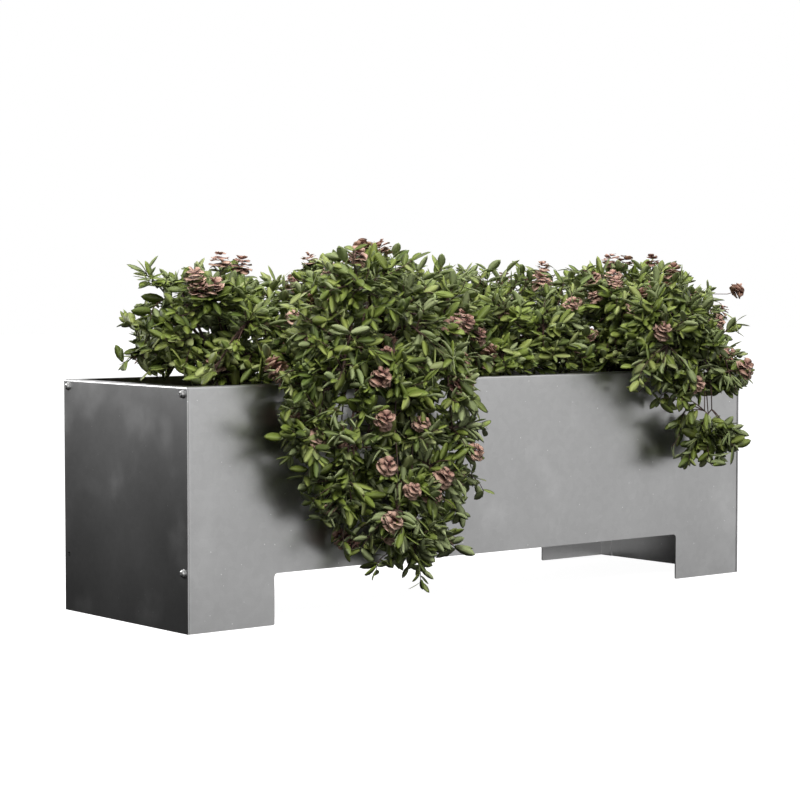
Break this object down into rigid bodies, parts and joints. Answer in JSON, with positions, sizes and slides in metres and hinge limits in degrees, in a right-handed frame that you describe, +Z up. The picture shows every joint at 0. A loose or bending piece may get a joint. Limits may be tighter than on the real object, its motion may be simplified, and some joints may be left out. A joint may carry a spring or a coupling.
{
  "type": "street planter",
  "caption": "Long rectangular street planter of folded sheet steel on four corner legs, filled with soil and planted with flowering shrubs that trail over the front.",
  "frame": {"origin": "on the ground, under the middle of the steel box", "axes": "+X along the box, so that the end with the open screw hole is at -X; -Y is the front, where the shoots trail; +Z up"},
  "size_m": [1.5635, 0.58, 0.7313],
  "materials": {
    "steel_sheet": "galvanised sheet steel, satin, faintly mottled",
    "fixings": "darkened steel screws, nuts and studs",
    "black_plastic": "black moulded plastic",
    "gravel": "rounded drainage gravel",
    "soil": "dark crumbly planting soil",
    "stems": "thin woody stems with brown bark",
    "foliage": "evergreen leaves with dusty pink flowers"
  },
  "bodies": {
    "root": {"front_panel": "steel_sheet", "back_panel": "steel_sheet", "left_end_panel": "steel_sheet", "right_end_panel": "steel_sheet", "floor_plate": "steel_sheet", "floor_stiffener_1": "steel_sheet", "floor_stiffener_2": "steel_sheet", "floor_stiffener_3": "steel_sheet", "cross_tie_1": "steel_sheet", "cross_tie_2": "steel_sheet", "left_end_screws": "fixings", "right_end_screws": "fixings", "left_end_washers": "fixings", "right_end_washers": "fixings", "left_weld_nuts": "fixings", "right_weld_nuts": "fixings", "floor_studs": "fixings", "floor_nuts": "fixings", "tie_studs": "fixings", "tie_nuts": "fixings", "drain_strainer_1": "black_plastic", "drain_strainer_2": "black_plastic", "drain_strainer_3": "black_plastic", "drain_strainer_4": "black_plastic", "gravel_layer": "gravel", "soil_block": "soil", "left_shrub_stems": "stems", "trailing_shrub_stems": "stems", "middle_shrub_stems": "stems", "right_shrub_stems": "stems", "left_shrub_crown": "foliage", "trailing_shrub_crown": "foliage", "trailing_shrub_fall": "foliage", "middle_shrub_crown": "foliage", "right_shrub_crown": "foliage", "right_shrub_fall": "foliage"}
  },
  "joints": []
}
